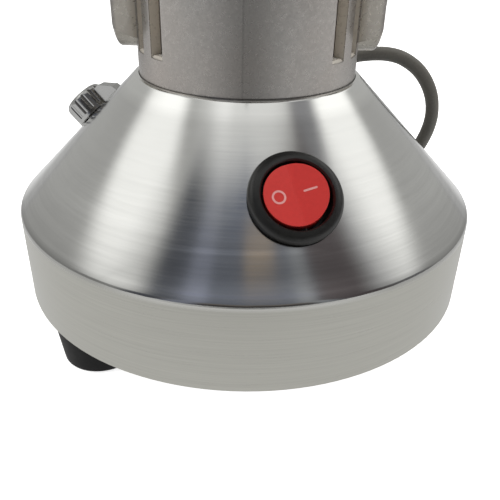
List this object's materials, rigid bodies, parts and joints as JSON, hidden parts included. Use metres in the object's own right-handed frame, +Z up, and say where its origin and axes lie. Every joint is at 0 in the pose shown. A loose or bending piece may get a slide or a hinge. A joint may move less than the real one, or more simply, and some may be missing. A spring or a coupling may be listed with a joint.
{
  "type": "electric coffee grinder",
  "caption": "Upright electric coffee grinder: conical metal base with a rocker switch and timer knob, slotted motor column, and a steel bowl with spinning blades under a clamped, hinged lid.",
  "frame": {"origin": "on the table under the middle of the base", "axes": "+Z up along the motor shaft, -Y towards the front, +X along the brush axis to the right"},
  "size_m": [0.1389, 0.2329, 0.2304],
  "materials": {
    "polished_shell": "polished cone above a satin band",
    "blasted_casting": "sand-blasted casting, clear lacquer",
    "plain_casting": "as cast",
    "stainless": "fine brushed stainless sheet",
    "plated_steel": "bright zinc plating",
    "bearing_steel": "ground",
    "lamination": "stacked electrical steel, varnished",
    "copper_wire": "enamelled winding wire",
    "commutator_copper": "turned copper bars",
    "brass": "plain brass",
    "brown_phenolic": "moulded phenolic",
    "carbon": "pressed carbon",
    "black_rubber": "matt rubber",
    "black_plastic": "satin moulded plastic",
    "red_plastic": "glossy moulded plastic",
    "plug_plastic": "satin moulded plastic",
    "knob_metal": "turned and polished metal",
    "grey_flex": "soft PVC sheath",
    "white_silicone": "translucent white silicone"
  },
  "bodies": {
    "base": {"base_shell": "polished_shell", "base_plate": "plated_steel", "rubber_feet": "black_rubber", "foot_screws": "plated_steel", "motor_housing": "blasted_casting", "housing_screws": "plated_steel", "stator_core": "lamination", "field_windings": "copper_wire", "lower_bracket": "plain_casting", "lower_bearing": "bearing_steel", "brush_frame": "brown_phenolic", "brush_holder_left": "brass", "brush_holder_right": "brass", "carbon_brush_left": "carbon", "carbon_brush_right": "carbon", "brush_spring_left": "plated_steel", "brush_spring_right": "plated_steel", "brush_cap_left": "black_plastic", "brush_cap_right": "black_plastic", "end_shield": "blasted_casting", "end_shield_screws": "plated_steel", "upper_bearing": "bearing_steel", "shaft_seal": "black_rubber", "bowl": "stainless", "bowl_screws": "plated_steel", "hinge_bracket": "plated_steel", "hinge_pin": "plated_steel", "lock_bracket": "plated_steel", "lock_pin": "plated_steel", "switch_gasket": "black_rubber", "switch_body": "black_plastic", "switch_terminals": "brass", "timer_body": "black_plastic", "timer_nut": "plated_steel", "cord_gland": "black_rubber", "gland_nut": "black_plastic", "cord": "grey_flex", "cord_coil": "grey_flex", "cord_tie": "black_plastic", "plug_body": "plug_plastic", "plug_pins": "brass"},
    "rocker": {"switch_rocker": "red_plastic"},
    "timer_dial": {"timer_shaft": "plated_steel", "timer_knob": "knob_metal"},
    "rotor": {"motor_shaft": "plated_steel", "armature_core": "lamination", "armature_windings": "copper_wire", "commutator": "commutator_copper", "cooling_fan": "black_plastic", "lower_blade": "stainless", "blade_spacer": "stainless", "upper_blade": "stainless", "blade_nut": "stainless"},
    "lid": {"lid_cover": "stainless", "lid_gasket": "white_silicone", "lid_arm": "plated_steel", "lid_fork": "plated_steel"},
    "swing_bolt": {"lock_bolt": "plated_steel"},
    "hand_knob": {"lock_knob": "black_plastic"}
  },
  "joints": [
    {"name": "rocker_tilt", "type": "hinge", "parent": "base", "child": "rocker", "pos_m": [0.01124, -0.0468, 0.05173], "axis": [-0.2988, 0.6484, 0.7002], "range_deg": [0, 16]},
    {"name": "timer_turn", "type": "hinge", "parent": "base", "child": "timer_dial", "pos_m": [-0.0467, 0.01383, 0.0523], "axis": [0.678, -0.2008, -0.7071], "range_deg": [0, 270]},
    {"name": "rotor_spin", "type": "hinge", "parent": "base", "child": "rotor", "pos_m": [0, 0, 0.161], "axis": [0, 0, 1], "continuous": true},
    {"name": "lid_hinge", "type": "hinge", "parent": "base", "child": "lid", "pos_m": [0, 0.058, 0.221], "axis": [-1, 0, 0], "range_deg": [0, 100]},
    {"name": "bolt_swing", "type": "hinge", "parent": "base", "child": "swing_bolt", "pos_m": [0, -0.057, 0.204], "axis": [-1, 0, 0], "range_deg": [0, 180]},
    {"name": "hand_knob_turn", "type": "hinge", "parent": "swing_bolt", "child": "hand_knob", "pos_m": [0, -0.057, 0.174], "axis": [0, 0, 1], "continuous": true}
  ]
}
